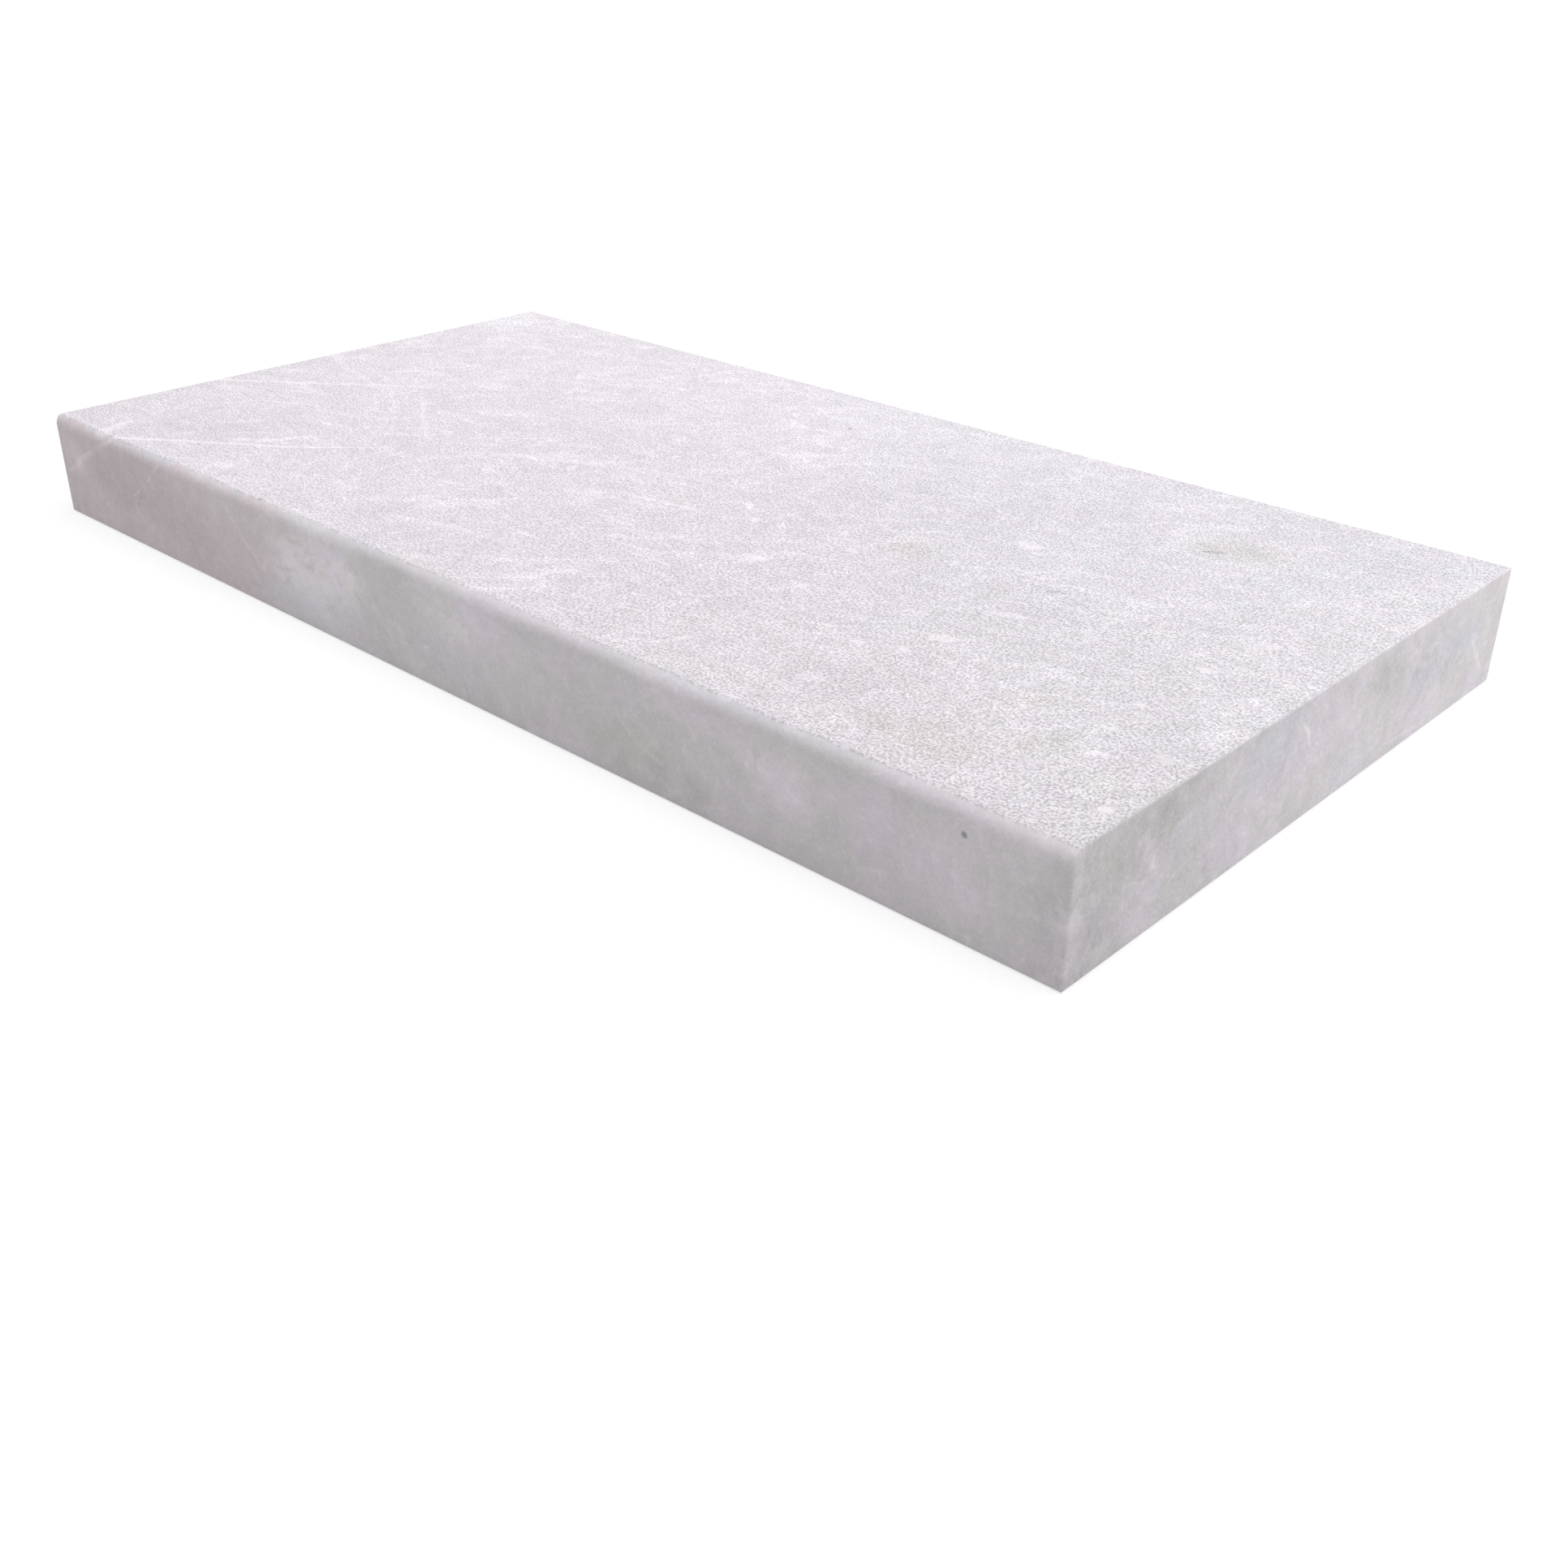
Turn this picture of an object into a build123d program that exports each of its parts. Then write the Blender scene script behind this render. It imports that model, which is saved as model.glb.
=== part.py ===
from build123d import *
from math import pi, sin
import os

# One marble pool coping, sawn from a single block of stone and lying flat, ready to be bedded.
# X runs along the pool edge, -Y faces the pool, +Y faces the paving and Z is up.
# The origin is the middle of the underside. All lengths are in millimetres.

# Size of the sawn slab
length = 610
width = 305
thickness = 50

# Pool edge: the long top edge that hands and feet touch, ground round with a hand-held pad.
# The pad leans on the pool face, so the round reaches further down the face than in over the top.
# The pad also wanders, so the line where the round meets the blasted top is slightly wavy.
round_reach = 3.0  # from the pool face in to that line
slow_wave_length = 105.0
slow_wave_height = 0.35
quick_wave_length = 41.0
quick_wave_height = 0.2
quick_wave_shift = 6.5
round_drop = 5.5  # from the top down to the lower edge of the round
round_bulge = 0.65  # how far the curve stands out from a straight line between its two edges

# Eased corners and arrises
corner_radius = 1.0  # the four upright corners
underside_radius = 1.5
top_arris_radius = 0.8

# The shape that is ground away: how far it stands clear of the stone, and how close its sections are
clearance = 3.0
section_spacing = 10.0

pool_face = -width / 2


def reach_at(x):
    """Distance from the pool face to the upper line of the round, at a place along the slab."""
    slow = slow_wave_height * sin(2 * pi * x / slow_wave_length)
    quick = quick_wave_height * sin(2 * pi * (x + quick_wave_shift) / quick_wave_length)
    return round_reach + slow + quick


def section_places():
    """Evenly spaced places along the slab, from just before one end to just past the other."""
    run = length + 2 * clearance
    count = round(run / section_spacing)
    return [run * (step / count - 0.5) for step in range(count + 1)]


# The stone that is ground away: all that is outside the curve of the round, carried along the slab
with BuildPart() as ground_away:
    for x in section_places():
        upper_y = pool_face + reach_at(x)
        lower_z = thickness - round_drop
        outer_y = pool_face - clearance
        outer_z = thickness + clearance
        with BuildSketch(Plane.YZ.offset(x)):
            with BuildLine():
                curve = SagittaArc((upper_y, thickness), (pool_face, lower_z), -round_bulge)
                Polyline(
                    curve @ 1,
                    (outer_y, lower_z),
                    (outer_y, outer_z),
                    (upper_y, outer_z),
                    curve @ 0,
                )
            make_face()
    loft()

# The slab, with its corners and arrises eased, and then its pool edge ground round
with BuildPart() as coping_slab:
    with BuildSketch():
        Rectangle(length, width)
        fillet(vertices(), corner_radius)
    extrude(amount=thickness)
    underside = faces().sort_by(Axis.Z)[0]
    fillet(underside.edges(), underside_radius)
    top = faces().sort_by(Axis.Z)[-1]
    fillet(top.edges(), top_arris_radius)
    add(ground_away.part, mode=Mode.SUBTRACT)

os.makedirs("parts", exist_ok=True)
coping_slab.part.label = "coping_slab"
export_step(coping_slab.part, "parts/coping_slab.step")
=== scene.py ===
import math
from types import SimpleNamespace

import bpy
import numpy as np
from mathutils import Matrix, Vector


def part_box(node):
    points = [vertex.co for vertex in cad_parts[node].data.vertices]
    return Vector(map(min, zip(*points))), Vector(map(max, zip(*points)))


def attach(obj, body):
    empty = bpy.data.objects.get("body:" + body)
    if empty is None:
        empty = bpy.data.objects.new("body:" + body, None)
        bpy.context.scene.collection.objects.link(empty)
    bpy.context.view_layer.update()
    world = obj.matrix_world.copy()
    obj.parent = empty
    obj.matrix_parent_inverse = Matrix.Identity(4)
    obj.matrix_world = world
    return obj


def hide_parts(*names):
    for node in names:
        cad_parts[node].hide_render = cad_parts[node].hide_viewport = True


MM = 0.001

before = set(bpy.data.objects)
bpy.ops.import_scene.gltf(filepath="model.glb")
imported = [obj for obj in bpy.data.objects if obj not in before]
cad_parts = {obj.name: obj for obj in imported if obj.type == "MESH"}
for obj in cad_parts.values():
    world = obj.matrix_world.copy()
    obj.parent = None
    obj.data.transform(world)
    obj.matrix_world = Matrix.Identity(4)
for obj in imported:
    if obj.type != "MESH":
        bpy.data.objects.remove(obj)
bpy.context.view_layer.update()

# Sizes of the slab, in metres. The box is the CAD node's own.
LOW, HIGH = (np.array(corner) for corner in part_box("coping_slab"))
TOP = HIGH[2]
POOL_FACE = LOW[1]

# The ground pool edge, as in the solid
ROUND_REACH = 3.0 * MM
SLOW_WAVE = (105.0 * MM, 0.35 * MM, 0.0)  # length, height, shift
QUICK_WAVE = (41.0 * MM, 0.2 * MM, 6.5 * MM)
ROUND_DROP = 5.5 * MM
ROUND_BULGE = 0.65 * MM

# Eased corners and arrises
CORNER = 1.0 * MM
UNDERSIDE_ARRIS = 1.5 * MM
TOP_ARRIS = 0.8 * MM

# The mesh: how far the edge lines reach in from each edge, and the pitch of the lines between them
EDGE_DEPTH = 7.0 * MM
TOP_PITCH = 2.0 * MM
SIDE_LINES = 12
FINE_EDGE = np.array([0, 0.25, 0.5, 0.8, 1.2, 1.9, 3.1, 4.8]) * MM
ROUND_ROWS = np.array([0, 0.3, 0.8, 1.5, 2.3, 3.1, 3.9, 4.7, 5.5, 6.2]) * MM  # down from the top
# In from the pool face, where 1 is the round's upper line. The last ones go on to the first inner line.
ROUND_LINES = np.array([0, 0.25, 0.5, 0.75, 1.0, 1.12, 1.35, 1.65])
ROUND_LINES_END = 2.0
CREASE = math.radians(30)
HALVINGS = 40  # steps of the search for the surface
UNDER_SHARE = 4  # the underside has one line for each this many on top

# The blasted skin of the top
PIT_DEPTH = 0.25 * MM
PIT_SIZE = 3.4 * MM
WIDE_PIT_SIZE = 2.7 * PIT_SIZE
WIDE_PIT_SHARE = 0.4
PIT_SEEDS = (1, 2)
NOISE_CELLS = 1024  # along each side of the table of random values
FAR_ENOUGH = 10  # metres, which keeps the places that look up the table above 0
PIT_FADE = 2.0 * MM
# How far from its rim the mesh still says how deep a point is inside it, in millimetres
BLAST_RANGE = 8.0


def wave(x, length, height, shift):
    return height * np.sin(2 * math.pi * (x + shift) / length)


def reach_at(x):
    """Distance from the pool face to the upper line of the round."""
    return ROUND_REACH + wave(x, *SLOW_WAVE) + wave(x, *QUICK_WAVE)


def outside_corner(a, b, radius):
    """How far a point is past a quarter round. a and b are its distances past the two faces."""
    da = np.maximum(a + radius, 0)
    db = np.maximum(b + radius, 0)
    return np.hypot(da, db) - radius


def outside_round(pool, top, reach):
    """How far a point is past the round of the pool edge, from its distances past the two faces."""
    chord = np.hypot(reach, ROUND_DROP)
    out_pool, out_top = ROUND_DROP / chord, reach / chord
    radius = (chord ** 2 / 4 + ROUND_BULGE ** 2) / (2 * ROUND_BULGE)
    back = radius - ROUND_BULGE
    along_pool, along_top = pool + reach / 2, top + ROUND_DROP / 2
    past_curve = np.hypot(along_pool + back * out_pool, along_top + back * out_top) - radius
    past_chord = along_pool * out_pool + along_top * out_top
    return np.minimum(past_curve, past_chord)


def outside(p):
    """Above 0 where a point is outside the slab, below 0 where it is inside it."""
    x, y, z = p[:, 0], p[:, 1], p[:, 2]
    pool, paving = POOL_FACE - y, y - HIGH[1]
    left, right = LOW[0] - x, x - HIGH[0]
    top, under = z - TOP, LOW[2] - z
    flats = np.max([pool, paving, left, right, top, under], axis=0)
    ground = outside_round(pool, top, reach_at(x))
    corners = [
        *(outside_corner(face, end, CORNER) for face in (pool, paving) for end in (left, right)),
        outside_corner(top, left, TOP_ARRIS),
        outside_corner(top, right, TOP_ARRIS),
        outside_corner(top, paving, TOP_ARRIS),
        *(outside_corner(under, side, UNDERSIDE_ARRIS) for side in (left, right, pool, paving)),
    ]
    return np.max([flats, ground, *corners], axis=0)


def onto_surface(points):
    """Moves points of the sharp box straight in towards its core, onto the slab's true surface."""
    core = np.clip(points, LOW + EDGE_DEPTH, HIGH - EDGE_DEPTH)
    near, far = np.zeros(len(points)), np.ones(len(points))
    for _ in range(HALVINGS):
        middle = (near + far) / 2
        out = outside(core + (points - core) * middle[:, None]) > 0
        far = np.where(out, middle, far)
        near = np.where(out, near, middle)
    return core + (points - core) * near[:, None]


def lines(low, high, first_edge, last_edge, count):
    """Places of the mesh's lines across the slab: close together at both edges, even between them."""
    inner = np.linspace(low + EDGE_DEPTH, high - EDGE_DEPTH, count + 1)
    return np.concatenate([low + first_edge, inner, high - last_edge[::-1]])


def round_lines(reach):
    """Distances from the pool face to the lines near it, of which one follows the upper line of the round."""
    beyond = reach + (ROUND_LINES - 1) / (ROUND_LINES_END - 1) * (EDGE_DEPTH - reach)
    return np.where(ROUND_LINES <= 1, ROUND_LINES * reach, beyond)


def even_count(run, share, extra):
    """The number of pitches in a run that makes the number of lines fit the coarser underside."""
    count = round(run / TOP_PITCH)
    return count + (-(count + extra)) % share


def value_noise(points, size, seed):
    """Smooth noise from 0 to 1 on points in a plane, with one random value for each cell of this size."""
    table = np.random.default_rng(seed).random((NOISE_CELLS, NOISE_CELLS))
    cell = points / size
    base = np.floor(cell).astype(int)
    part = cell - base
    part = part * part * (3 - 2 * part)
    x, y = base[:, 0] % NOISE_CELLS, base[:, 1] % NOISE_CELLS
    x1, y1 = (x + 1) % NOISE_CELLS, (y + 1) % NOISE_CELLS
    low = table[x, y] * (1 - part[:, 0]) + table[x1, y] * part[:, 0]
    high = table[x, y1] * (1 - part[:, 0]) + table[x1, y1] * part[:, 0]
    return low * (1 - part[:, 1]) + high * part[:, 1]


# Places on the slab's faces, in millimetres, as the marks below take them
def on_top(*points):
    return [(x, y, TOP / MM) for x, y in points]


def on_front(*points):
    return [(x, POOL_FACE / MM, z) for x, z in points]


def on_end(*points):
    return [(HIGH[0] / MM, y, z) for y, z in points]


# Each mark or cloud is its strength, its half width at each of its points, and the points themselves

# Pale veins and shell fragments that stand out
PALE_MARKS = [
    (0.95, (1.7, 2.6, 2.0, 1.0), on_top((-252, -152), (-205, -119), (-178, -101), (-143, -68))),
    (0.8, (2.1, 2.2, 2.1, 1.6), on_top((-306, -62), (-270, -37), (-235, -8), (-212, 9))),
    (0.7, (1.6, 2.3, 1.3), on_top((-256, 8), (-243, 22), (-229, 30))),
    (0.6, (1.2, 1.7, 1.7), on_top((-264, -82), (-253, -66), (-225, -51))),
    (0.75, (4.2, 3.9, 2.6), on_top((-206, -112), (-195, -104), (-183, -83))),
    (0.75, (4.5, 5.9), on_top((-268, -134), (-262, -150))),
    (0.45, (2.6, 2.9, 2.1), on_top((-305, 10), (-272, -2), (-240, -8))),
    (0.1, (1.3, 1.8, 1.3), on_top((-218, 52), (-215, 9), (-210, -1))),
    (0.45, (2.0, 2.6, 1.8), on_top((-205, -4), (-165, -31), (-142, -47))),
    (0.7, (1.0, 2.9, 1.8), on_top((-14, -34), (2, -31), (21, -28))),
    (0.65, (1.0, 1.6, 1.0), on_top((-18, -97.5), (-6, -97), (6, -97.5))),
    (0.6, (0.8, 1.6, 1.0), on_top((-14, -62), (0, -60), (16, -59))),
    (0.6, (1.0, 1.6), on_top((38, -81), (60, -80))),
    (0.35, (2.6, 3.9, 3.9, 2.1), on_top((-118, -61), (-92, -34), (-38, -8), (25, 9))),
    (0.3, (1.8, 2.6, 1.8), on_top((-32, 42), (20, 66), (72, 92))),
    (0.35, (1.3, 2.0, 1.3), on_top((-138, -94), (-118, -114), (-98, -111))),
    (0.35, (1.3, 2.6, 1.6), on_top((-72, -124), (-48, -117), (-22, -111))),
    (0.45, (1.0, 1.6), on_top((-235, -131), (-229, -114))),
    (0.6, (5.2, 3.9), on_top((270, 12), (274, 16))),
    (0.6, (3.9, 5.2, 2.6), on_top((182, -30), (189, -27), (194, -26))),
    (0.5, (4.5, 5.2), on_top((-17, -143), (-12, -141))),
    (0.5, (3.9, 5.9), on_top((24, -133), (31, -129))),
    (0.55, (2.0, 2.0), on_front((-252, 48), (-263, 43))),
    (0.55, (2.2, 2.6, 2.0), on_front((-263, 43), (-282, 33), (-300, 22))),
    (0.5, (0.9, 1.0, 0.8), on_front((-205, 47), (-220, 36), (-236, 24))),
    (0.35, (2.0, 1.6), on_front((-228, 36), (-223, 32))),
    (0.35, (1.2, 1.6, 1.0), on_front((-150, 42), (-138, 28), (-122, 17))),
    (0.3, (1.2, 1.4, 1.0), on_front((-42, 30), (-35, 20), (-28, 14))),
    (0.3, (0.8, 1.2, 0.8), on_front((108, 27), (118, 20), (132, 14))),
    (0.5, (1.3, 1.0), on_front((-6, 17), (-4, 17))),
    (0.5, (1.2, 1.0), on_front((54, 18), (56, 18))),
    (0.7, (0.8, 1.6, 0.8), on_end((-17, 42), (-12, 37), (-8, 31))),
    (0.4, (1.2, 1.8), on_end((56, 6), (80, 4))),
    (0.45, (1.4, 2.2, 1.2), on_end((126, 27), (133, 18), (141, 9))),
    (0.4, (3.5, 5.0, 3.0), on_end((-116, 38), (-111, 32), (-106, 22))),
]

# Pale spots, each a small shell
PALE_SPOTS = [
    (0.9, (2.7, 2.1), on_top((49, -19), (51, -20))),
    (1.0, (3.8, 2.6), on_top((102, -17), (105, -18))),
    (0.7, (2.6, 1.7), on_top((34, -7), (36, -8))),
    (0.8, (2.7, 2.1), on_top((87, -4), (89, -5))),
    (0.9, (3.0, 4.7, 1.7), on_top((147, 38), (152, 36), (157, 39))),
    (1.0, (3.1, 3.1), on_top((297, -126.5), (298, -126.5))),
    (0.9, (2.9, 2.9), on_top((265.5, -58), (266.5, -58))),
    (0.8, (3.4, 2.9), on_top((267, -19), (269, -18))),
    (0.7, (2.2, 2.2), on_top((291, -28), (292.2, -28))),
    (0.6, (1.6, 2.5, 1.3), on_top((272, -99), (276, -97), (281, -96))),
    (0.8, (2.9, 3.6), on_top((75, -50.5), (83, -49.5))),
    (0.6, (1.4, 2.2), on_top((108, -71), (114, -57))),
    (0.6, (1.6, 2.5), on_top((97, 58), (102, 60))),
    (0.6, (4.2, 3.4), on_top((170, -119), (175, -117))),
    (0.6, (3.9, 4.4), on_top((181, -62), (186, -60))),
    (0.7, (2.5, 2.1), on_top((180, -79), (182, -79))),
    (0.6, (2.7, 2.1), on_top((163, -85), (165.5, -84))),
    (0.6, (2.6, 2.2), on_top((149.5, -101), (151.5, -101))),
    (0.7, (3.1, 2.6), on_top((160, -149), (164, -148.5))),
    (0.6, (2.5, 2.0), on_top((52.5, -80), (54.5, -80))),
]

# Soft pale patches
PALE_CLOUDS = [
    (1.2, (14, 14), on_top((-301, 128), (-296, 122))),
    (0.35, (10, 12), on_top((-205, 72), (-202, 66))),
    (0.4, (10, 14, 8), on_top((-262, 96), (-258, 88), (-250, 84))),
    (0.3, (8, 8), on_top((-112, 40), (-110, 36))),
    (0.3, (14, 20), on_top((-180, -135), (-165, -128))),
    (0.95, (16, 22, 16), on_front((-104, 26), (-80, 27), (-58, 32))),
    (0.4, (12, 14), on_front((4, 36), (20, 34))),
    (0.5, (8, 9), on_front((-298, 38), (-288, 30))),
    (0.4, (8, 10), on_front((180, 33), (192, 27))),
]

# Dark spots, and soft dark patches. One patch on the right end is painted shade near its corner with the pool
# face.
DARK_MARKS = [
    (0.9, (1.0, 1.4), on_top((-8, 109), (-6, 106))),
    (0.35, (1.6, 2.4), on_top((-8, -3), (-3, -2))),
    (0.8, (1.0, 1.0), on_top((-124, -151), (-122, -149))),
    (0.8, (1.6, 2.4), on_top((186, 2), (190, 5))),
    (0.7, (1.6, 2.6), on_top((207, 82), (212, 85))),
    (0.9, (0.9, 0.9), on_top((237.2, -51.5), (238, -51.5))),
    (0.9, (1.6, 1.6), on_front((265.5, 39.6), (265.7, 39.4))),
    (0.1, (10, 12, 10), on_end((42, 38), (48, 36), (55, 34))),
]
DARK_CLOUDS_AND_SHADE = [
    (0.9, (8, 13, 10), on_top((205, 86), (216, 90), (226, 96))),
    (0.5, (8, 12, 9), on_top((212, -128), (226, -127), (240, -131))),
    (0.35, (8, 12), on_top((252, -110), (262, -104))),
    (0.4, (8, 10), on_top((114, -2), (121, 0))),
    (0.35, (10, 16, 10), on_top((-80, -125), (-68, -130), (-52, -132))),
    (0.3, (16, 22), on_top((-245, -120), (-215, -90))),
    (0.9, (14, 20, 16), on_front((-265, 32), (-240, 24), (-180, 20))),
    (0.4, (10, 12), on_front((-148, 36), (-132, 36))),
    (0.6, (7, 9), on_front((-120, 34), (-112, 28))),
    (0.6, (14, 20, 14), on_front((102, 10), (122, 14), (146, 8))),
    (0.95, (12, 17, 11), on_end((-148, 38), (-128, 36), (-104, 42))),
    (0.7, (8, 12), on_end((-150, 4), (-128, 2))),
    # Painted shade: the right end darker near its corner with the pool face
    (0.9, (15, 17), on_end((-152, 26), (-142, 12))),
    (0.7, (14, 16), on_end((78, 30), (108, 30))),
    (0.9, (9, 13, 9), on_end((38, 40), (50, 36), (60, 30))),
]

# Soft patches of other colours
OLIVE_CLOUDS = [
    (0.8, (9, 13, 10), on_top((204, 90), (216, 92), (228, 96))),
    (1.0, (9, 15, 11), on_top((210, -128), (226, -126), (242, -128))),
    (0.9, (8, 12), on_top((252, -110), (262, -104))),
    (0.9, (8, 10), on_top((280, -116), (290, -112))),
    (0.7, (9, 10), on_top((236, -80), (244, -75))),
    (0.7, (8, 10), on_top((114, -2), (120, 0))),
    (0.6, (7, 9), on_top((188, -140), (198, -136))),
    (0.4, (3, 4), on_top((2, -19), (8, -24))),
    (0.7, (8, 10, 8), on_front((-160, 40), (-135, 38), (-108, 36))),
    (0.8, (12, 14, 10), on_front((-20, 40), (-8, 34), (6, 40))),
    (0.6, (14, 16), on_front((68, 28), (84, 20))),
    (0.9, (16, 20, 16), on_front((100, 12), (122, 16), (148, 10))),
    (0.6, (8, 10), on_front((200, 16), (212, 24))),
    (0.6, (14, 16), on_front((284, 36), (302, 30))),
    (0.9, (13, 16, 12), on_end((-150, 40), (-128, 37), (-104, 42))),
    (0.8, (8, 11, 8), on_end((37, 38), (50, 36), (62, 30))),
]
LILAC_CLOUDS = [
    (0.8, (9, 11), on_front((28, 38), (46, 34))),
    (0.7, (12, 14), on_front((132, 46), (168, 46))),
    (0.9, (8, 11), on_front((176, 34), (196, 26))),
    (0.9, (10, 15, 10), on_front((232, 30), (250, 24), (270, 18))),
    (0.6, (8, 10), on_end((-114, 36), (-108, 24))),
    (0.6, (14, 18), on_end((-5, 30), (22, 34))),
]
BLUE_CLOUDS = [
    (0.7, (6, 9, 6), on_top((156, -66), (163, -62), (172, -56))),
    (0.6, (6, 8), on_top((206, -58), (216, -54))),
    (0.9, (16, 16), on_top((-302, 128), (-296, 122))),
    (0.55, (8, 10, 8), on_front((-124, 8), (-100, 11), (-66, 14))),
    (0.3, (9, 11), on_front((-12, 12), (18, 10))),
    (0.7, (5, 7), on_end((-90, 32), (-80, 30))),
    (1.0, (7, 11, 8), on_end((-52, 34), (-36, 42), (-22, 46))),
    (0.9, (9, 11, 9), on_end((74, 30), (98, 32), (127, 30))),
    (0.6, (7, 7), on_end((16, 8), (40, 8))),
]

# Above 1, so that a cloud has its full strength in its core
CLOUD_CORE = 1.25


def cloud_share(points, clouds):
    """How deep each point is in these clouds: 0 at a cloud's rim, and the cloud's strength in its middle."""
    found = np.zeros(len(points))
    for strength, widths, places in clouds:
        for (a, b), (w0, w1) in zip(zip(places, places[1:]), zip(widths, widths[1:])):
            a, run = np.array(a), np.array(b) - np.array(a)
            along = np.clip((points - a) @ run / (run @ run), 0, 1)
            off = np.linalg.norm(points - a - along[:, None] * run, axis=1)
            share = np.clip(CLOUD_CORE - off / (w0 + (w1 - w0) * along), 0, 1)
            found = np.maximum(found, strength * share)
    return found


def closed_grid():
    """The sharp box as one closed grid: fine on top, rows down its sides, and coarse underneath."""
    edges = 2 * len(FINE_EDGE)
    run_x = HIGH[0] - LOW[0] - 2 * EDGE_DEPTH
    run_y = HIGH[1] - LOW[1] - 2 * EDGE_DEPTH
    xs = lines(LOW[0], HIGH[0], FINE_EDGE, FINE_EDGE, even_count(run_x, UNDER_SHARE, edges))
    ys = lines(LOW[1], HIGH[1], round_lines(ROUND_REACH), FINE_EDGE, even_count(run_y, UNDER_SHARE, edges))
    zs = lines(LOW[2], HIGH[2], FINE_EDGE, ROUND_ROWS, SIDE_LINES)[::-1]
    nx, ny = len(xs), len(ys)

    grid_x, grid_y = np.meshgrid(xs, ys, indexing="ij")
    grid_y[:, :len(ROUND_LINES)] = POOL_FACE + round_lines(reach_at(xs)[:, None])
    top = np.stack([grid_x, grid_y, np.full_like(grid_x, TOP)], -1).reshape(-1, 3)
    index = np.arange(nx * ny).reshape(nx, ny)
    cells = np.stack([index[:-1, :-1], index[1:, :-1], index[1:, 1:], index[:-1, 1:]], -1)
    faces = cells.reshape(-1, 4).tolist()

    # Once round the top, counted so that the outside is on the right hand
    rim = np.concatenate([index[:, 0], index[-1, 1:], index[-2::-1, -1], index[0, -2:0:-1]])
    rows = [rim]
    points = [top]
    made = len(top)
    for z in zs[1:]:
        row = top[rim].copy()
        row[:, 2] = z
        points.append(row)
        rows.append(np.arange(made, made + len(rim)))
        made += len(rim)
    for upper, lower in zip(rows, rows[1:]):
        faces += np.stack([upper, lower, np.roll(lower, -1), np.roll(upper, -1)], -1).tolist()

    # Underneath, only some of the lines, with the cells at the rim taking in the rim's own points
    inner_x, inner_y = np.meshgrid(xs[::UNDER_SHARE][1:-1], ys[::UNDER_SHARE][1:-1], indexing="ij")
    points.append(np.stack([inner_x, inner_y, np.full_like(inner_x, LOW[2])], -1).reshape(-1, 3))
    full = np.full((nx, ny), -1)
    full.reshape(-1)[rim] = rows[-1]
    inner = np.arange(made, made + inner_x.size).reshape(inner_x.shape)
    full[::UNDER_SHARE, ::UNDER_SHARE][1:-1, 1:-1] = inner

    def edge(i0, j0, i1, j1):
        """Points from one corner of a cell to the next, without the last."""
        steps = max(abs(i1 - i0), abs(j1 - j0))
        found = [full[i0 + (i1 - i0) * k // steps, j0 + (j1 - j0) * k // steps] for k in range(steps)]
        return [int(v) for v in found if v >= 0]

    for i in range(0, nx - 1, UNDER_SHARE):
        for j in range(0, ny - 1, UNDER_SHARE):
            i1, j1 = i + UNDER_SHARE, j + UNDER_SHARE
            faces.append(edge(i, j, i, j1) + edge(i, j1, i1, j1) + edge(i1, j1, i1, j) + edge(i1, j, i, j))
    return np.concatenate(points), faces


def blasted_depth(points):
    """How far points are inside the blasted skin, which ends at the round and half over the other arrises."""
    inside = np.min([
        points[:, 1] - POOL_FACE - reach_at(points[:, 0]),
        HIGH[1] - points[:, 1],
        points[:, 0] - LOW[0],
        HIGH[0] - points[:, 0],
    ], axis=0) - (TOP - points[:, 2])
    return np.where(points[:, 2] > TOP - EDGE_DEPTH, inside, -BLAST_RANGE * MM)


def pit_share(points):
    """How deep a pit is over each point: 0 on a crest, 1 for the full depth."""
    plane = points[:, :2] + FAR_ENOUGH
    fine, wide = (value_noise(plane, *kind) for kind in zip((PIT_SIZE, WIDE_PIT_SIZE), PIT_SEEDS))
    crests = (1 - WIDE_PIT_SHARE) * fine + WIDE_PIT_SHARE * wide
    return 1 - crests


def slab_mesh():
    """The slab's mesh with its pits, and with the values that its material needs at each point."""
    points, faces = closed_grid()
    points = onto_surface(points)
    inside = blasted_depth(points)
    points[:, 2] -= PIT_DEPTH * np.clip(inside / PIT_FADE, 0, 1) * pit_share(points)

    mesh = bpy.data.meshes.new("marble_slab")
    mesh.from_pydata(points.tolist(), [], faces)
    mesh.update()
    mesh.shade_smooth()
    mesh.set_sharp_from_angle(angle=CREASE)
    depth = mesh.attributes.new("blasted", "FLOAT", "POINT")
    depth.data.foreach_set("value", np.clip(inside / MM, -BLAST_RANGE, BLAST_RANGE).astype(np.float32))

    # A vector carries three kinds of cloud, and the tones have only two
    kinds_of = {"tints": (OLIVE_CLOUDS, LILAC_CLOUDS, BLUE_CLOUDS), "tones": (PALE_CLOUDS, DARK_CLOUDS_AND_SHADE, [])}
    for name, kinds in kinds_of.items():
        shares = np.stack([cloud_share(points / MM, clouds) for clouds in kinds], -1)
        vector = mesh.attributes.new(name, "FLOAT_VECTOR", "POINT")
        vector.data.foreach_set("vector", shares.astype(np.float32).ravel())
    return mesh


# Marble. All the pattern's sizes and places are in millimetres, in the slab's own frame.
TO_MM = 1000.0

# Colours as they are seen in plain light, 0 to 255
BLASTED = (234, 229, 236)
BLASTED_COOL = (230, 230, 236)
BLASTED_OLIVE = (231, 227, 228)
HONED = (214, 209, 214)
HONED_MAUVE = (213, 202, 206)
HONED_OLIVE = (214, 210, 210)
HONED_LILAC = (219, 213, 220)
HONED_BLUE = (211, 210, 216)

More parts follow.
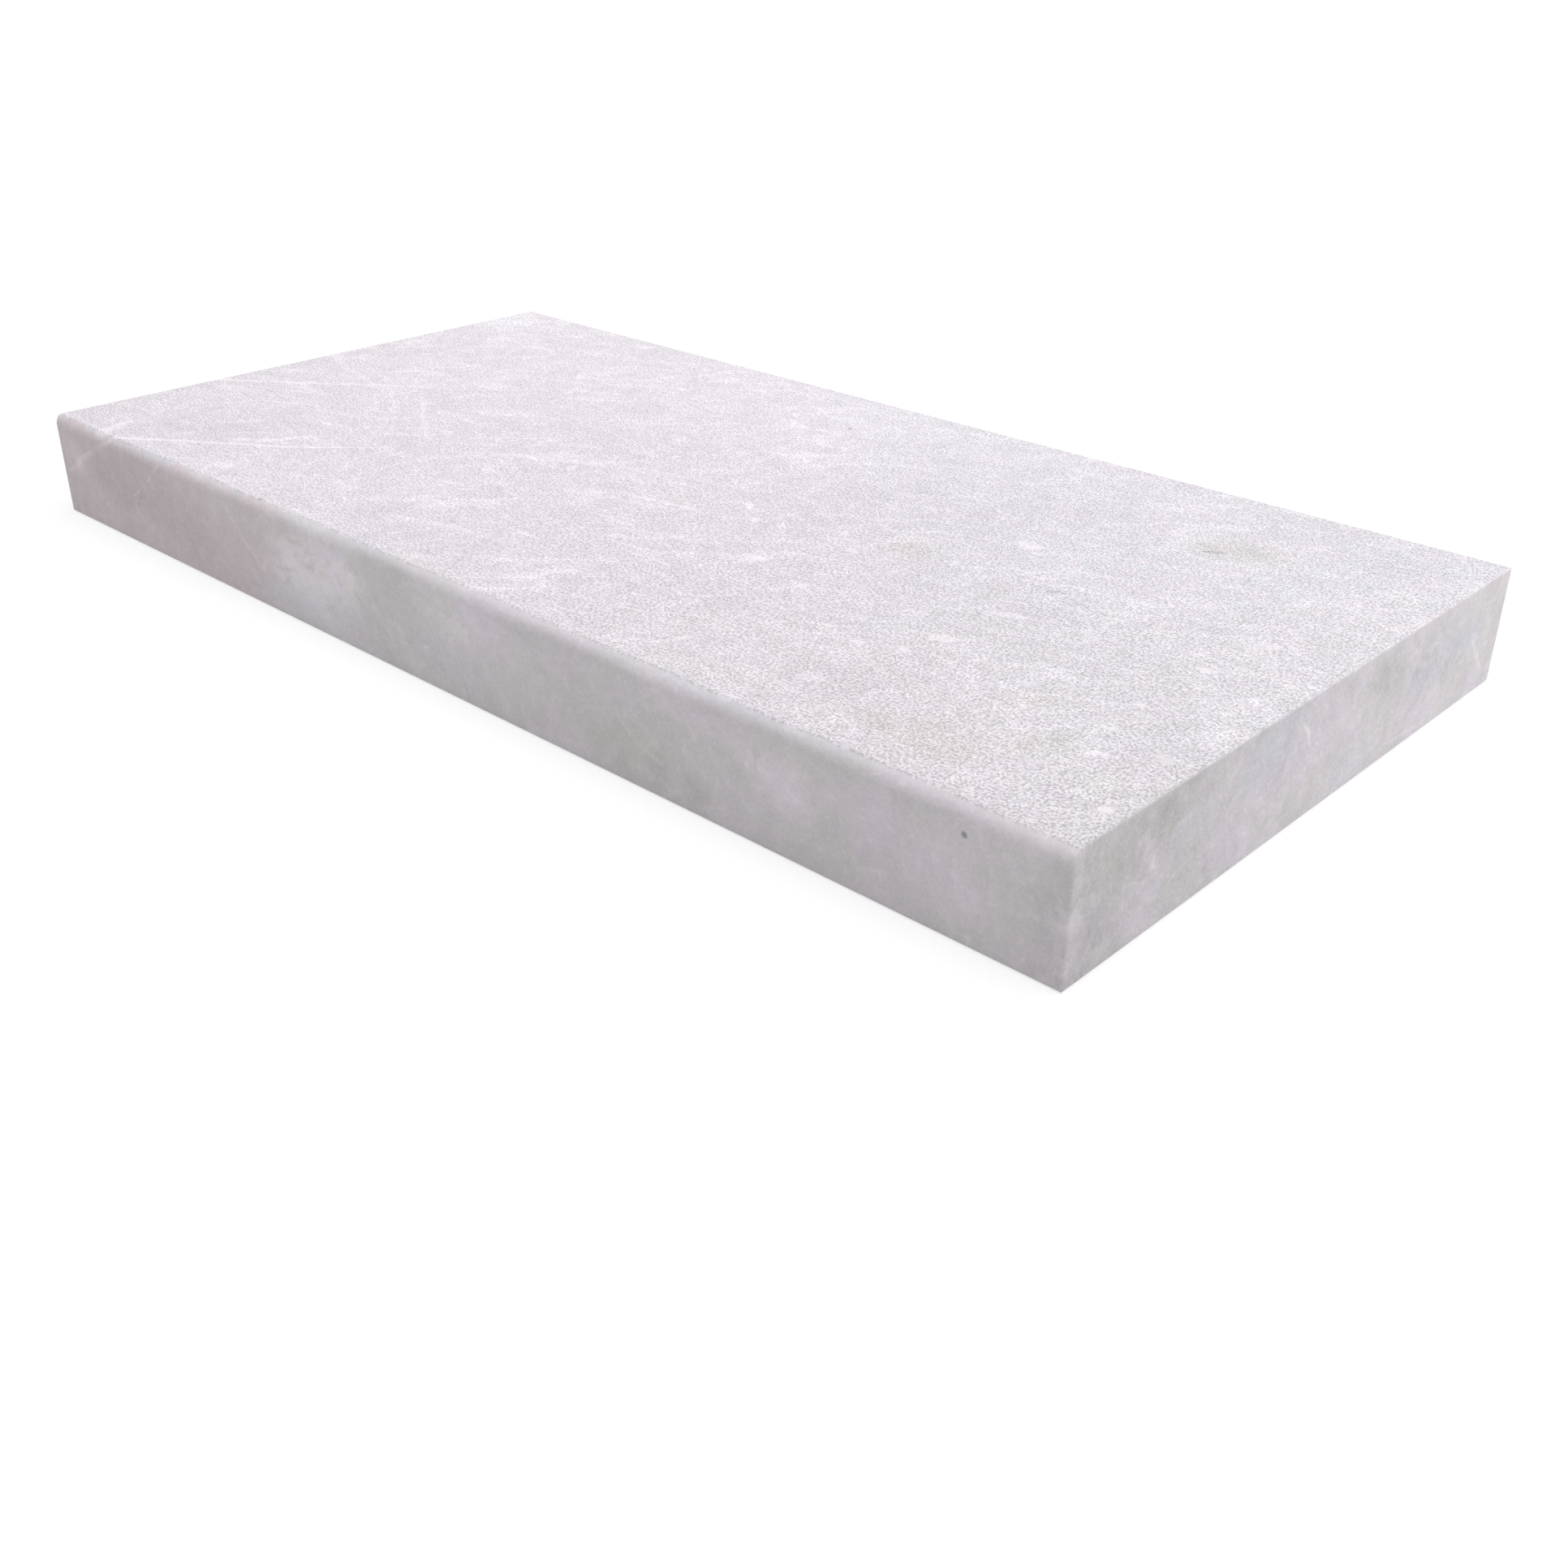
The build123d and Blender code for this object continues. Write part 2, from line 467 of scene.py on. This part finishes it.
# What the pits and crests of the blasted skin do to the colour: partly the grain's own tone, partly painted
# shade in the pits and a painted highlight on the crests
PIT_TONE_AND_SHADE = (0.678, 0.664, 0.65)
CREST_TONE_AND_HIGHLIGHT = (1.152, 1.152, 1.156)

# The share of its tone that each feature adds to the stone
TOP_TONES = {
    "threads": 0.11, "fragments": 0.15,
    "pale_marks": 0.22, "pale_clouds": 0.1, "dark_marks": -0.3, "dark_clouds_and_shade": -0.11,
}
SIDE_TONES = {
    "threads": 0.05, "fragments": 0.05,
    "pale_marks": 0.28, "pale_clouds": 0.26, "dark_marks": -0.6, "dark_clouds_and_shade": -0.12,
}

# Swirls: their own size, and how far they move what they carry
FLOW_SWIRLS = (55, 30)
CURL_SWIRLS = (10, 6)
VEIN_SWIRLS = (14, 3.0)
RIM_SWIRLS = (4, 1.2)

# Other sizes in the pattern
FRAGMENT_CELL = 9
FRAGMENT_REACH = (0.1, 0.26)  # of the smallest and the largest, as shares of a cell
GRAIN_SIZE = 1.0
COARSE_GRAIN_SIZE = 2.0
COARSE_SHARE = 0.22
PIT_TO_CREST = (0.22, 0.74)  # the heights of the grain at which a pit ends and a crest is whole
GRAIN_DEPTH = 0.4 * MM

# Where parts of the pattern begin, and where they are whole. The first is on Y and the next two are on X.
POOL_EDGE = (-146, -148)
MAUVE_FROM = (-85, -142)
RIGHT_END = (303, 304.5)

# The same for depths inside the blasted skin: the round, and the skin itself at the pool edge and elsewhere
ROUND_BAND = (-7.5, -1.5)
POOL_RIM = (-2.2, 0.0)
OTHER_RIM = (-0.3, 0.3)

BLASTED_ROUGH = 0.85
HONED_ROUGH = 0.6


def linear(colour):
    """A colour given as 0 to 255 in sRGB, as the linear colour that a shader takes."""
    shares = [part / 255 for part in colour]
    return tuple(s / 12.92 if s <= 0.04045 else ((s + 0.055) / 1.055) ** 2.4 for s in shares) + (1.0,)


class Graph:
    """Makes nodes in one tree. A value is a number, or another node's output."""

    def __init__(self, tree):
        self.tree = tree

    def node(self, kind, values=(), **settings):
        made = self.tree.nodes.new(kind)
        for name, setting in settings.items():
            setattr(made, name, setting)
        for socket, value in values:
            self.feed(made.inputs[socket], value)
        return made

    def feed(self, socket, value):
        if isinstance(value, bpy.types.NodeSocket):
            self.tree.links.new(value, socket)
        else:
            socket.default_value = value

    def math(self, operation, *values):
        return self.node("ShaderNodeMath", enumerate(values), operation=operation).outputs[0]

    def total(self, *values):
        """The sum of the values."""
        found = values[0]
        for value in values[1:]:
            found = self.math("ADD", found, value)
        return found

    def product(self, *values):
        found = values[0]
        for value in values[1:]:
            found = self.math("MULTIPLY", found, value)
        return found

    def centred(self, value, strength):
        """A value from 0 to 1, spread evenly either side of 0 over a width of this strength."""
        return self.math("MULTIPLY_ADD", value, strength, -strength / 2)

    def vector(self, operation, *values):
        made = self.node("ShaderNodeVectorMath", enumerate(values), operation=operation)
        return made.outputs["Value" if operation in ("DOT_PRODUCT", "LENGTH") else "Vector"]

    def scaled(self, vector, factor):
        made = self.node("ShaderNodeVectorMath", [(0, vector), ("Scale", factor)], operation="SCALE")
        return made.outputs["Vector"]

    def moved(self, place, x, y, z):
        """The place moved, so that the same noise gives another pattern there."""
        return self.vector("ADD", place, (x, y, z))

    def drawn_out(self, place, turn, squeeze=1.0):
        """The place turned, in degrees, and squeezed along X, so that its pattern is drawn out that way."""
        angles = tuple(math.radians(part) for part in turn)
        turned = self.node("ShaderNodeMapping", [("Vector", place), ("Rotation", angles)]).outputs[0]
        return self.vector("MULTIPLY", turned, (squeeze, 1.0, 1.0))

    def between(self, share, first, second):
        """The first value where the share is 0, the second where it is 1."""
        return self.math("MULTIPLY_ADD", share, second - first, first)

    def step(self, value, low, high):
        """0 below low and 1 above high, with a smooth rise between. low may be above high."""
        made = self.node(
            "ShaderNodeMapRange",
            [("Value", value), ("From Min", low), ("From Max", high)],
            interpolation_type="SMOOTHSTEP",
        )
        return made.outputs["Result"]

    def noise(self, place, size, detail=2.0, rough=0.5):
        """Noise from 0 to 1 whose largest lumps are about this size."""
        return self.noise_node(place, size, detail, rough).outputs["Fac"]

    def noise_node(self, place, size, detail=2.0, rough=0.5):
        values = [("Vector", place), ("Scale", 1 / size), ("Detail", detail), ("Roughness", rough)]
        return self.node("ShaderNodeTexNoise", values)

    def threads(self, place, size, width, detail=2.0, rough=0.5):
        """Thin lines along the middle level of a noise."""
        off_middle = self.math("ABSOLUTE", self.centred(self.noise(place, size, detail, rough), 1.0))
        return self.step(off_middle, width, 0.0)

    def specks(self, place, size, low, high):
        """Ragged specks of about this size, where a noise is above low."""
        return self.step(self.noise(place, size, rough=0.6), low, high)

    def warped(self, place, size, reach, detail=1.0):
        """The place moved by up to about half of reach, with swirls of this size."""
        swirl = self.noise_node(place, size, detail).outputs["Color"]
        centred = self.vector("SUBTRACT", swirl, (0.5, 0.5, 0.5))
        return self.vector("ADD", place, self.scaled(centred, reach))

    def mix(self, factor, a, b):
        """The colour a where the factor is 0, and b where it is 1."""
        made = self.node("ShaderNodeMix", data_type="RGBA")
        for name, value in (("Factor", factor), ("A", a), ("B", b)):
            self.feed(next(s for s in made.inputs if s.name == name and s.enabled), value)
        return next(s for s in made.outputs if s.enabled)


def new_material(name):
    material = bpy.data.materials.new(name)
    material.use_nodes = True
    material.node_tree.nodes.clear()
    return material, Graph(material.node_tree)


# The inner part of a streak that has its full strength, as a share of its width
STREAK_CORE = 0.3


def streak_group():
    """A node group: how much a place lies in a streak between two points, 1 in its middle and 0 outside."""
    tree = bpy.data.node_groups.new("streak", "ShaderNodeTree")
    for name in ("Place", "From", "Run", "Along"):
        tree.interface.new_socket(name, in_out="INPUT", socket_type="NodeSocketVector")
    for name in ("Width", "Growth"):
        tree.interface.new_socket(name, in_out="INPUT", socket_type="NodeSocketFloat")
    tree.interface.new_socket("Share", in_out="OUTPUT", socket_type="NodeSocketFloat")
    g = Graph(tree)
    given = g.node("NodeGroupInput").outputs
    start = g.vector("SUBTRACT", given["Place"], given["From"])
    along = g.vector("DOT_PRODUCT", start, given["Along"])
    along = g.math("MINIMUM", g.math("MAXIMUM", along, 0.0), 1.0)
    off = g.vector("SUBTRACT", start, g.scaled(given["Run"], along))
    width = g.math("MULTIPLY_ADD", given["Growth"], along, given["Width"])
    share = g.step(g.vector("LENGTH", off), width, g.math("MULTIPLY", width, STREAK_CORE))
    g.node("NodeGroupOutput", [("Share", share)])
    return tree


def streaks(g, group, place, marks):
    """The strongest of these marks at a place."""
    strongest = 0.0
    for strength, widths, points in marks:
        for (a, b), (w0, w1) in zip(zip(points, points[1:]), zip(widths, widths[1:])):
            a, run = Vector(a), Vector(b) - Vector(a)
            along = run / run.length_squared
            made = g.node("ShaderNodeGroup", node_tree=group)
            shape = (("From", a), ("Run", run), ("Along", along), ("Width", w0), ("Growth", w1 - w0))
            for name, value in (("Place", place), *shape):
                g.feed(made.inputs[name], value)
            strongest = g.math("MAXIMUM", strongest, g.product(made.outputs["Share"], strength))
    return strongest


def carried(g, name):
    """The three values that the mesh carries under this name."""
    vector = g.node("ShaderNodeAttribute", attribute_name=name).outputs["Vector"]
    return g.node("ShaderNodeSeparateXYZ", [(0, vector)]).outputs


def pale_threads(g, place, curl):
    """Two families of long threads, each in its own parts of the stone, and a fine net between them."""
    rising_place = g.drawn_out(curl, turn=(0, 0, -36), squeeze=0.22)
    rising = g.threads(rising_place, size=15, width=0.055, detail=1.0)
    level_place = g.drawn_out(g.moved(curl, 0, 0, 90), turn=(0, 8, -4), squeeze=0.25)
    level = g.threads(level_place, size=13, width=0.05, detail=1.0)
    net = g.threads(g.moved(curl, 40, 0, 0), size=19, width=0.035, rough=0.6)
    here = g.noise(place, 50, detail=1.0)
    return g.total(
        g.product(rising, g.step(here, 0.42, 0.62)),
        g.product(level, g.step(here, 0.56, 0.4), 0.7),
        g.product(net, 0.5),
    )


def shell_fragments(g, curl):
    """Small pale flakes, one in a few cells, drawn out a little."""
    cell_place = g.drawn_out(curl, turn=(0, 0, -25), squeeze=0.55)
    cells = g.node("ShaderNodeTexVoronoi", [("Vector", cell_place), ("Scale", 1 / FRAGMENT_CELL)])
    chance, size_of, _ = g.node("ShaderNodeSeparateXYZ", [(0, cells.outputs["Color"])]).outputs
    reach = g.between(size_of, *FRAGMENT_REACH)
    flake = g.step(cells.outputs["Distance"], reach, g.product(reach, 0.6))
    return g.product(flake, g.step(chance, 0.72, 0.92))


def stone_values(g):
    """What the colours of the top and of the sides are both made from."""
    place = g.scaled(g.node("ShaderNodeTexCoord").outputs["Object"], TO_MM)
    x, y, z = g.node("ShaderNodeSeparateXYZ", [(0, place)]).outputs
    inside = g.node("ShaderNodeAttribute", attribute_name="blasted").outputs["Fac"]

    # Swirls that carry the pattern, and the ragged edges of its smaller parts
    flow = g.warped(place, *FLOW_SWIRLS)
    curl = g.warped(flow, *CURL_SWIRLS)

    # Clouds of three sizes, lighter and darker
    clouds = g.total(
        g.centred(g.noise(flow, 90, detail=1.0), 0.08),
        g.centred(g.noise(flow, 26, detail=3.0, rough=0.6), 0.16),
        g.centred(g.noise(curl, 8, detail=3.0, rough=0.65), 0.24),
    )

    # Marks that are placed one by one. The veins wander a little, and break up here and there.
    group = streak_group()
    wandering = g.warped(g.warped(place, *VEIN_SWIRLS), *RIM_SWIRLS)
    broken = g.step(g.noise(place, 5), 0.2, 0.55)
    veins = g.product(streaks(g, group, wandering, PALE_MARKS), broken)
    spots = streaks(g, group, g.warped(place, *RIM_SWIRLS), PALE_SPOTS)

    # Soft patches that are placed one by one, with torn edges
    torn = g.step(g.noise(g.moved(curl, 20, 20, 0), 11, detail=4.0, rough=0.6), 0.3, 0.5)
    olive, lilac, blue = (g.product(share, torn) for share in carried(g, "tints"))
    # The dark clouds include painted shade on the right end near the pool face
    pale_clouds, dark_clouds_and_shade, _ = (g.product(share, torn) for share in carried(g, "tones"))

    features = {
        "threads": pale_threads(g, place, curl),
        "fragments": shell_fragments(g, curl),
        "pale_marks": g.math("MAXIMUM", veins, spots),
        "pale_clouds": pale_clouds,
        "dark_marks": streaks(g, group, place, DARK_MARKS),
        "dark_clouds_and_shade": dark_clouds_and_shade,
    }
    return SimpleNamespace(
        place=place, x=x, y=y, z=z, inside=inside, curl=curl, clouds=clouds, features=features,
        olive=olive, lilac=lilac, blue=blue, pool=g.step(y, *POOL_EDGE),
    )


def toned(g, features, shares):
    """Each feature times the share that it adds to the tone."""
    return [g.product(features[name], share) for name, share in shares.items()]


def blasted_top(g, stone, height):
    """The top's colour: cooler towards the back right, and with olive specks towards the front right."""
    back_right = g.total(stone.x, g.product(stone.y, 1.2))
    front_right = g.total(stone.x, g.product(stone.y, -1.0))
    cool_specks = g.product(
        g.step(back_right, 40, 230), g.specks(g.moved(stone.curl, 90, 0, 0), 10, 0.44, 0.58), 0.75,
    )
    olive_specks = g.product(
        g.step(front_right, 130, 380), g.specks(g.moved(stone.curl, 0, 90, 0), 8, 0.5, 0.62), 0.5,
    )
    cool = g.math("MAXIMUM", cool_specks, stone.blue)
    olive = g.math("MAXIMUM", g.product(stone.olive, 0.9), olive_specks)
    colour = g.mix(cool, linear(BLASTED), linear(BLASTED_COOL))
    colour = g.mix(olive, colour, linear(BLASTED_OLIVE))
    tone = g.total(
        1.0, stone.clouds,
        g.product(g.step(back_right, 130, 330), 0.028),
        g.product(g.step(stone.x, -60, 130), -0.05),
        *toned(g, stone.features, TOP_TONES),
    )
    colour = g.scaled(colour, tone)

    # The grain's tone, partly painted shade in the pits and painted highlight on the crests, is fainter
    # towards the left, where the blasting bit less, and on the harder veins and shells
    soft = g.between(g.step(stone.x, -150, 300), 0.93, 1.05)
    shells = g.math("MAXIMUM", stone.features["pale_marks"], stone.features["fragments"])
    hard = g.between(shells, 1.0, 0.3)
    grain_tone_and_shading = g.product(g.centred(g.step(height, *PIT_TO_CREST), 1.0), soft, hard)
    gain = g.mix(g.math("ADD", grain_tone_and_shading, 0.5), PIT_TONE_AND_SHADE + (1.0,), CREST_TONE_AND_HIGHLIGHT + (1.0,))
    return g.vector("MULTIPLY", colour, gain)


def honed_sides(g, stone):
    """The sides' colour: mauve towards the left, with a painted highlight that makes the ground round of the
    pool edge paler, and painted shade low on the left of the pool face.
    """
    curl = stone.curl
    mauve_edge = g.centred(g.noise(curl, 30, detail=4.0, rough=0.62), 100)
    mauve = g.step(g.total(stone.x, mauve_edge), *MAUVE_FROM)
    elsewhere = g.between(mauve, 1.0, 0.0)
    tint = g.noise(g.moved(curl, 60, 60, 0), 34, detail=4.0, rough=0.62)
    # The round of the pool edge. It has a blue tint of its own, and the tone below also paints a highlight on
    # it.
    ground = g.product(g.step(stone.inside, *ROUND_BAND), stone.pool)
    colour = linear(HONED)
    for share, other in (
        (mauve, HONED_MAUVE),
        (g.product(g.step(tint, 0.49, 0.55), elsewhere, 0.6), HONED_OLIVE),
        (g.product(g.step(tint, 0.48, 0.42), elsewhere, 0.5), HONED_LILAC),
        (stone.olive, HONED_OLIVE),
        (stone.lilac, HONED_LILAC),
        (stone.blue, HONED_BLUE),
        (g.product(ground, g.step(tint, 0.47, 0.55), 0.8), HONED_BLUE),
    ):
        colour = g.mix(share, colour, linear(other))

    # Fine mottling, soft slanting bands and pale flecks, all stronger on the right end
    mottle = g.noise(g.drawn_out(stone.place, turn=(38, 0, 0)), 1.2, rough=0.6)
    slanting_place = g.vector("MULTIPLY", g.drawn_out(curl, turn=(-30, 0, 0)), (0.6, 0.3, 1.0))
    slanting = g.noise(slanting_place, 4, rough=0.6)
    fleck = g.step(g.noise(g.moved(curl, 0, 0, 50), 3.4, detail=1.0), 0.6, 0.72)
    pattern = g.total(
        stone.clouds, g.centred(mottle, 0.27), g.centred(slanting, 0.07), g.product(fleck, 0.06),
    )
    right_end = g.step(stone.x, *RIGHT_END)
    # Painted shade: on the left of the pool face the tone is lighter towards the top and darker towards the
    # floor
    painted_light_upward = g.product(g.step(stone.z, 0, 40), g.step(stone.x, -290, -140), stone.pool)
    # Painted highlight: the tone makes the round of the pool edge paler
    tone = g.total(
        1.0, g.product(ground, 0.12), g.product(painted_light_upward, 0.06),
        g.product(pattern, g.between(right_end, 1.0, 1.5)),
        *toned(g, stone.features, SIDE_TONES),
    )
    return g.scaled(colour, tone)


def marble():
    material, g = new_material("marble")
    stone = stone_values(g)

    # Grain of the blasted skin. It thins out over the start of the round, and stops short at the other edges.
    grain = g.noise(stone.place, GRAIN_SIZE, detail=0.0)
    coarse = g.noise(g.moved(stone.place, 7, 3, 0), COARSE_GRAIN_SIZE, detail=1.0)
    height = g.total(g.product(grain, 1 - COARSE_SHARE), g.product(coarse, COARSE_SHARE))
    ragged = g.total(g.centred(coarse, 1.2), g.centred(grain, 0.5))
    rim = g.total(stone.inside, g.product(ragged, g.between(stone.pool, 0.3, 1.0)))
    ends = [g.between(stone.pool, other, pool) for other, pool in zip(OTHER_RIM, POOL_RIM)]
    blasted = g.step(rim, *ends)

    colour = g.mix(blasted, honed_sides(g, stone), blasted_top(g, stone, height))
    relief = g.product(height, g.step(stone.inside, 0.0, 1.0))
    bump = g.node("ShaderNodeBump", [("Height", relief), ("Distance", GRAIN_DEPTH), ("Strength", 1.0)])
    rough = g.between(blasted, HONED_ROUGH, BLASTED_ROUGH)
    shader = g.node("ShaderNodeBsdfPrincipled", [
        ("Base Color", colour), ("Roughness", rough), ("Normal", bump.outputs["Normal"]),
    ])
    g.node("ShaderNodeOutputMaterial", [("Surface", shader.outputs[0])])
    return material


def piece(name, mesh, material):
    obj = bpy.data.objects.new(name, mesh)
    bpy.context.scene.collection.objects.link(obj)
    mesh.materials.append(material)
    return obj


slab = piece("marble_coping", slab_mesh(), marble())
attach(slab, "root")
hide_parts("coping_slab")


# Floor and background. To the camera the floor is its own glow, and a share of the light that falls on it.
FLOOR_SIZE = 60.0
FLOOR_SHADE = 0.7
SHADOW_SHARE = 0.36
FLOOR_GLOW = 0.68
AMBIENT = 0.4
WHITE = 1.0


def grey(level):
    return (level, level, level, 1.0)


def seen_directly(g):
    """1 for the rays that show the background: straight to the camera, in a reflection or through glass."""
    path = g.node("ShaderNodeLightPath").outputs
    seen = g.math("MAXIMUM", path["Is Camera Ray"], path["Is Glossy Ray"])
    return g.math("MAXIMUM", seen, path["Is Transmission Ray"])


def floor_material():
    """Plain white to the camera with the slab's shadow kept light, and a pale floor to all other light."""
    material, g = new_material("pale_floor")
    plain = g.node("ShaderNodeBsdfDiffuse", [("Color", grey(FLOOR_SHADE))])
    shaded = g.node("ShaderNodeBsdfDiffuse", [("Color", grey(SHADOW_SHARE))])
    glow = g.node("ShaderNodeEmission", [("Strength", FLOOR_GLOW)])
    both = g.node("ShaderNodeAddShader", [(0, shaded.outputs[0]), (1, glow.outputs[0])])
    mix = g.node("ShaderNodeMixShader", [(0, seen_directly(g)), (1, plain.outputs[0]), (2, both.outputs[0])])
    g.node("ShaderNodeOutputMaterial", [("Surface", mix.outputs[0])])
    return material


floor_mesh = bpy.data.meshes.new("floor")
half = FLOOR_SIZE / 2
corners = [(-half, -half), (half, -half), (half, half), (-half, half)]
floor_mesh.from_pydata([(x, y, LOW[2]) for x, y in corners], [], [(0, 1, 2, 3)])
floor = piece("floor", floor_mesh, floor_material())

world = bpy.data.worlds.new("studio")
bpy.context.scene.world = world
world.use_nodes = True
world.node_tree.nodes.clear()
g = Graph(world.node_tree)
lit = g.node("ShaderNodeBackground", [("Color", grey(WHITE)), ("Strength", AMBIENT)])
white = g.node("ShaderNodeBackground", [("Color", grey(WHITE)), ("Strength", 1.0)])
mix = g.node("ShaderNodeMixShader", [(0, seen_directly(g)), (1, lit.outputs[0]), (2, white.outputs[0])])
g.node("ShaderNodeOutputWorld", [("Surface", mix.outputs[0])])


def sun(name, towards, strength, angle):
    """A light from far away. angle is how wide it is in the sky, in degrees."""
    data = bpy.data.lights.new(name, "SUN")
    data.energy = strength
    data.angle = math.radians(angle)
    obj = bpy.data.objects.new(name, data)
    obj.rotation_euler = Vector(towards).to_track_quat("-Z", "Y").to_euler()
    bpy.context.scene.collection.objects.link(obj)


def panel(name, place, target, size, power, spread):
    """A square light that faces its target. spread is how wide its beam is, in degrees."""
    data = bpy.data.lights.new(name, "AREA")
    data.energy = power
    data.size = size
    data.spread = math.radians(spread)
    obj = bpy.data.objects.new(name, data)
    obj.location = place
    obj.rotation_euler = (Vector(target) - Vector(place)).to_track_quat("-Z", "Y").to_euler()
    obj.visible_camera = False
    bpy.context.scene.collection.objects.link(obj)


sun("key", towards=(-0.25, 0.04, -1.0), strength=1.7, angle=50)
panel("end", place=(0.75, 0.28, 0.07), target=(0.305, 0.16, 0.03), size=0.3, power=0.14, spread=70)
panel("back", place=(-0.15, 0.8, 0.5), target=(-0.1, 0.05, 0.05), size=0.8, power=2.0, spread=180)

# Camera: fitted to the slab's corners in the photograph
PICTURE = 1932
FOCAL_PIXELS = 2107.1
SENSOR = 36.0
CAMERA_PLACE = Vector((527.67, -516.32, 300.28)) * MM
PITCH = math.radians(28.719)
YAW = math.radians(42.749)
ROLL = math.radians(0.509)
CLIP_START = 0.01
CLIP_END = 200.0

camera_data = bpy.data.cameras.new("camera")
camera_data.sensor_width = SENSOR
camera_data.lens = SENSOR * FOCAL_PIXELS / PICTURE
camera_data.clip_start = CLIP_START
camera_data.clip_end = CLIP_END
camera = bpy.data.objects.new("camera", camera_data)
bpy.context.scene.collection.objects.link(camera)
camera.matrix_world = Matrix.Translation(CAMERA_PLACE)
for angle, axis in ((YAW, "Z"), (math.pi / 2 - PITCH, "X"), (ROLL, "Z")):
    camera.matrix_world = camera.matrix_world @ Matrix.Rotation(angle, 4, axis)
bpy.context.scene.camera = camera

bpy.context.scene.view_settings.view_transform = "Standard"
